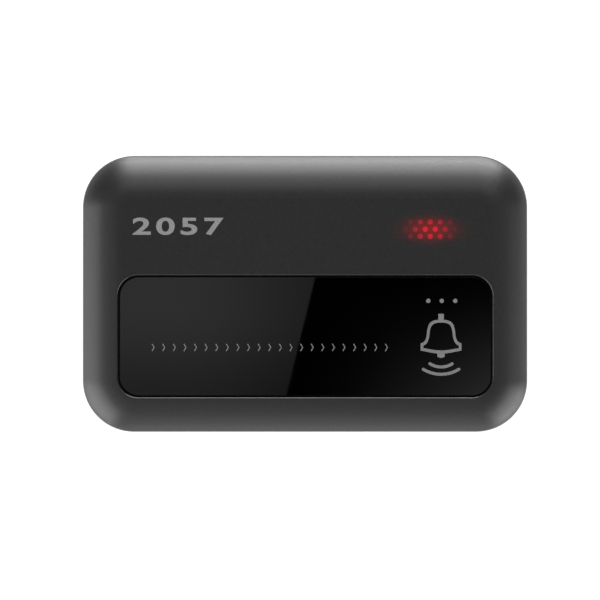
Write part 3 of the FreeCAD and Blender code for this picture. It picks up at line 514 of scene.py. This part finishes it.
middle, size = middle_and_size("indicator_light_guide")
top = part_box("indicator_light_guide")[1].z
dot_rows = (7, 6, 7)
plate_depth, stem_overlap = 0.003, 0.0001
stem_length, stem_width = 0.004, 0.0032
mouth_length, mouth_width = size.x - 0.0016, size.y - 0.0008
guide_sizes = {"Peg radius": 0.0005, "Peg length": 0.0025, "Pitch": 0.00195, "Row pitch": 0.00142,
               "Plate length": size.x, "Plate width": size.y, "Corner": 0.0008, "Plate thickness": 0.001,
               "Stem length": stem_length, "Stem width": stem_width,
               "Stem height": size.z - plate_depth + stem_overlap,
               "Stem spread in length": mouth_length / stem_length,
               "Stem spread in width": mouth_width / stem_width}
tree, given, output = growing_tree("light guide", guide_sizes)
plate_foot = (middle.x, middle.y, top - plate_depth)
plate = rounded_plate(tree, given["Plate length"], given["Plate width"], given["Corner"],
                      given["Plate thickness"], plate_foot)[0]
stem, mouth = rounded_plate(tree, given["Stem length"], given["Stem width"], given["Corner"],
                            given["Stem height"], (middle.x, middle.y, top - size.z))
for axis, spread in (((1, 0, 0), given["Stem spread in length"]), ((0, 1, 0), given["Stem spread in width"])):
    stem = node(tree, "GeometryNodeScaleElements", {"Geometry": stem, "Selection": mouth, "Scale": spread,
                                                    "Axis": axis}, scale_mode="SINGLE_AXIS").outputs["Geometry"]
peg = node(tree, "GeometryNodeMeshCylinder", {"Vertices": 28, "Radius": given["Peg radius"],
                                              "Depth": given["Peg length"]}).outputs["Mesh"]
everything = node(tree, "GeometryNodeJoinGeometry", {"Geometry": plate})
tree.links.new(stem, everything.inputs["Geometry"])
for row, count in enumerate(dot_rows):
    across = row - (len(dot_rows) - 1) / 2
    step = node(tree, "ShaderNodeCombineXYZ", {"X": given["Pitch"]})
    back = node(tree, "ShaderNodeMath", {0: given["Pitch"], 1: -(count - 1) / 2}, operation="MULTIPLY")
    side = node(tree, "ShaderNodeMath", {0: given["Row pitch"], 1: across}, operation="MULTIPLY")
    first = node(tree, "ShaderNodeCombineXYZ", {"X": back.outputs[0], "Y": side.outputs[0]})
    line = node(tree, "GeometryNodeMeshLine", {"Count": count, "Start Location": first.outputs[0],
                                               "Offset": step.outputs[0]}, mode="OFFSET")
    stood = node(tree, "GeometryNodeInstanceOnPoints", {"Points": line.outputs["Mesh"], "Instance": peg})
    moved = node(tree, "GeometryNodeTransform", {"Geometry": stood.outputs["Instances"],
                                                 "Translation": (middle.x, middle.y,
                                                                 top - guide_sizes["Peg length"] / 2)})
    tree.links.new(moved.outputs["Geometry"], everything.inputs["Geometry"])
light_guide = grown("light_guide", tree, guide_sizes, everything.outputs["Geometry"], output, peg_acrylic,
                    "root", 0.00004)
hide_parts("indicator_light_guide")

# Front cover
# Black ABS shell with a wide, gently rounded shoulder, painted with a satin soft-touch coat that blurs
# the light. A little of the lamp's red light spreads in the coat around the dots.

halo_place = Vector((0.0242, 0.0125))
halo_glow = 0.19
cover_coat, tree, shader, place = shade("cover coat")
halo = glow(tree, place, halo_place, 0.00275, 0.00125)
coat = tinted(tree, uneven(tree, place, 0.0004, 0.0, 1.0), (0.0038, 0.0038, 0.0039), (0.0092, 0.0092, 0.0093))
darkened = node(tree, "ShaderNodeMix", {"Factor": halo, "A": coat, "B": (0.0, 0.0, 0.0, 1)}, data_type="RGBA")
tree.links.new(darkened.outputs["Result"], shader.inputs["Base Color"])
tree.links.new(uneven(tree, place, 0.002, 0.355, 0.365), shader.inputs["Roughness"])
shader.inputs["Specular IOR Level"].default_value = 0.65
grained(tree, shader, place, 0.00028, 0.000012)
shader.inputs["Emission Color"].default_value = (1.0, 0.0, 0.0, 1)
strength = node(tree, "ShaderNodeMath", {0: halo, 1: halo_glow}, operation="MULTIPLY")
tree.links.new(strength.outputs[0], shader.inputs["Emission Strength"])
finish("front_cover", cover_coat)

# Number on the cover
# The table's number, printed at the upper left in a silver ink that is slightly lighter than the key's.
# It is set in plain bold figures, a little apart, and is as thick as the print on the key.

number_low = Vector((-0.03335, 0.01134))
number_high = Vector((-0.01576, 0.01475))
lettering = bpy.data.curves.new("table_number", "FONT")
lettering.body = "2057"
lettering.size = 0.005
lettering.offset = 0.00012
lettering.extrude = ink_rise / 2
lettering.space_character = 1.25
cover_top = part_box("front_cover")[1].z
number_ink = silver_ink("number ink", (0.225, 0.225, 0.227), (0.270, 0.270, 0.272))
table_number = inked("table_number", lettering, (0, 0, cover_top + ink_rise / 2), number_ink, "root")
for axis in (0, 1):
    places = [corner.co[axis] for corner in table_number.data.vertices]
    stretch = (number_high[axis] - number_low[axis]) / (max(places) - min(places))
    for corner in table_number.data.vertices:
        corner.co[axis] = number_low[axis] + (corner.co[axis] - min(places)) * stretch

# Screws
# Eight pan head screws with cross recesses, in steel with black zinc plating.
# Four hold the board on its standoffs and four close the housing from below.

screw_steel = plated_metal("screw steel", (0.20, 0.20, 0.21), (0.32, 0.32, 0.33), 0.36, 1.0)
finish("housing_screws", screw_steel)
finish("board_screws", screw_steel)

# Table and studio
# The device lies on a pale table that keeps its soft shadow; from below the table can't be seen.
# Softboxes stand around it in three tiers, in a dim white room.

table_mesh = bpy.data.meshes.new("table")
table_mesh.from_pydata([(-4, -5, 0), (8, -5, 0), (8, 5, 0), (-4, 5, 0)], [], [(0, 1, 2, 3)])
table = bpy.data.objects.new("table", table_mesh)
bpy.context.scene.collection.objects.link(table)
table_paper, tree, shader, place = shade("table paper")
tree.links.new(tinted(tree, uneven(tree, place, 0.05, 0.0, 1.0), (0.50, 0.50, 0.50), (0.52, 0.52, 0.52)),
               shader.inputs["Base Color"])
shader.inputs["Roughness"].default_value = 0.9
shader.inputs["Specular IOR Level"].default_value = 0.1
shader.inputs["Emission Color"].default_value = (1, 1, 1, 1)
table_paper.cycles.emission_sampling = "NONE"
path = node(tree, "ShaderNodeLightPath", {})
mirrored_share = node(tree, "ShaderNodeMath", {0: path.outputs["Is Glossy Ray"],
                                               1: path.outputs["Is Transmission Ray"]}, operation="MAXIMUM")
seen_level, mirrored_level = 0.75, 0.95
mirrored_white = node(tree, "ShaderNodeMath", {0: mirrored_share.outputs[0], 1: mirrored_level},
                      operation="MULTIPLY")
white = node(tree, "ShaderNodeMath", {0: path.outputs["Is Camera Ray"], 1: seen_level,
                                      2: mirrored_white.outputs[0]}, operation="MULTIPLY_ADD")
tree.links.new(white.outputs[0], shader.inputs["Emission Strength"])
clear = node(tree, "ShaderNodeBsdfTransparent", {})
below = node(tree, "ShaderNodeNewGeometry", {}).outputs["Backfacing"]
either = node(tree, "ShaderNodeMixShader", {0: below, 1: shader.outputs["BSDF"], 2: clear.outputs["BSDF"]})
tree.links.new(either.outputs["Shader"], tree.nodes["Material Output"].inputs["Surface"])
table_mesh.materials.append(table_paper)

world = bpy.data.worlds.new("studio")
bpy.context.scene.world = world
world.use_nodes = True
tree = world.node_tree
sky = tree.nodes["Background"]
sky.inputs["Color"].default_value = (1, 1, 1, 1)
room_level = 0.24
path = node(tree, "ShaderNodeLightPath", {})
bright = node(tree, "ShaderNodeMath", {0: room_level, 1: path.outputs["Is Camera Ray"]}, operation="MAXIMUM")
tree.links.new(bright.outputs[0], sky.inputs["Strength"])


def softbox(name, azimuth, height, distance, width, tall, radiance):
    """Area lamp that faces the device from an azimuth, counted in degrees from +Y towards +X."""
    lamp = bpy.data.lights.new(name, "AREA")
    lamp.shape = "RECTANGLE"
    lamp.size = width
    lamp.size_y = tall
    lamp.energy = radiance * math.pi * width * tall
    turn = math.radians(azimuth)
    place = Vector((distance * math.sin(turn), distance * math.cos(turn), height))
    stand = bpy.data.objects.new(name, lamp)
    stand.location = place
    stand.rotation_euler = (Vector((0, 0, 0.008)) - place).to_track_quat("-Z", "Y").to_euler()
    stand.visible_camera = False
    bpy.context.scene.collection.objects.link(stand)


tiers = (("low", 0.055, 0.90, 0.11), ("middle", 0.34, 0.88, 0.46), ("high", 0.78, 0.62, 0.60))
for side, azimuth, width, levels in (("back", 8, 0.85, (18.0, 4.9, 1.05)), ("right", 127, 0.92, (9.2, 2.9, 0.1)),
                                     ("left", 239, 1.10, (6.6, 3.5, 0.4)), ("front", 180, 0.50, (2.0, 0.8, 0.2))):
    for (tier, height, distance, tall), radiance in zip(tiers, levels):
        softbox(side + "_" + tier + "_softbox", azimuth, height, distance, width, tall, radiance)

# Card over the key
# Glossy panels are lit by what they mirror: a studio card above the key, pale on its left and black on its
# right, with light that grows towards the lower right. Only mirrored rays see it.

card_height = 0.8
card_mesh = bpy.data.meshes.new("key_card")
card_mesh.from_pydata([(-0.06, -0.04, card_height), (-0.06, 0.03, card_height), (0.06, 0.03, card_height),
                       (0.06, -0.04, card_height)], [], [(0, 1, 2, 3)])
card = bpy.data.objects.new("key_card", card_mesh)
bpy.context.scene.collection.objects.link(card)
card_face, tree, shader, place = shade("card face")
shader.inputs["Base Color"].default_value = (0, 0, 0, 1)
shader.inputs["Emission Color"].default_value = (1, 1, 1, 1)
shader.inputs["Specular IOR Level"].default_value = 0.0
edge_start = Vector((0.00289, 0.00465))
edge_end = Vector((-0.00429, -0.02494))
apart = node(tree, "ShaderNodeSeparateXYZ", {"Vector": place})
lean = (edge_start.x - edge_end.x) / (edge_start.y - edge_end.y)
shift = node(tree, "ShaderNodeMath", {0: apart.outputs["Y"], 1: edge_start.y}, operation="SUBTRACT")
edge = node(tree, "ShaderNodeMath", {0: shift.outputs[0], 1: lean, 2: edge_start.x}, operation="MULTIPLY_ADD")
past = node(tree, "ShaderNodeMath", {0: apart.outputs["X"], 1: edge.outputs[0]}, operation="GREATER_THAN")
across = node(tree, "ShaderNodeMapRange", {"Value": apart.outputs["X"], "From Min": -0.0345, "From Max": 0.011,
                                           "To Min": 0.68, "To Max": 0.31}, interpolation_type="SMOOTHSTEP")
along = node(tree, "ShaderNodeMapRange", {"Value": apart.outputs["Y"], "From Min": -0.0275, "From Max": -0.003,
                                          "To Min": 0.52, "To Max": 1.0}, interpolation_type="SMOOTHSTEP")
left_light = node(tree, "ShaderNodeMath", {0: across.outputs["Result"], 1: along.outputs["Result"]},
                  operation="MULTIPLY")
rightwards = node(tree, "ShaderNodeMapRange", {"Value": apart.outputs["X"], "From Min": -0.0034,
                                               "From Max": 0.0429}, clamp=False)
frontwards = node(tree, "ShaderNodeMapRange", {"Value": apart.outputs["Y"], "From Min": 0.0090,
                                               "From Max": -0.0240}, clamp=False)
corner = node(tree, "ShaderNodeMath", {0: rightwards.outputs["Result"], 1: frontwards.outputs["Result"]},
              operation="MULTIPLY")
squared = node(tree, "ShaderNodeMath", {0: corner.outputs[0], 1: corner.outputs[0]}, operation="MULTIPLY")
corner_level = 0.36
right_light = node(tree, "ShaderNodeMath", {0: squared.outputs[0], 1: corner_level}, operation="MULTIPLY")
light = node(tree, "ShaderNodeMix", {"Factor": past.outputs[0], "A": left_light.outputs[0],
                                     "B": right_light.outputs[0]}, data_type="FLOAT")
tree.links.new(light.outputs["Result"], shader.inputs["Emission Strength"])
card_mesh.materials.append(card_face)
card_face.cycles.emission_sampling = "NONE"
for unseen in ("visible_camera", "visible_diffuse", "visible_transmission", "visible_shadow"):
    setattr(card, unseen, False)

# Camera
# It looks straight down from far above, as the photograph does.
# The frame's width is measured at half of the device's height.

camera = bpy.data.objects.new("camera", bpy.data.cameras.new("camera"))
bpy.context.scene.collection.objects.link(camera)
camera_height, frame_level = 2.4, 0.0075
frame_width = 0.11633
camera.data.sensor_width = 36.0
camera.data.lens = camera.data.sensor_width * (camera_height - frame_level) / frame_width
camera.location = (-0.00098, -0.00119, camera_height)
bpy.context.scene.camera = camera
bpy.context.scene.view_settings.view_transform = "Standard"
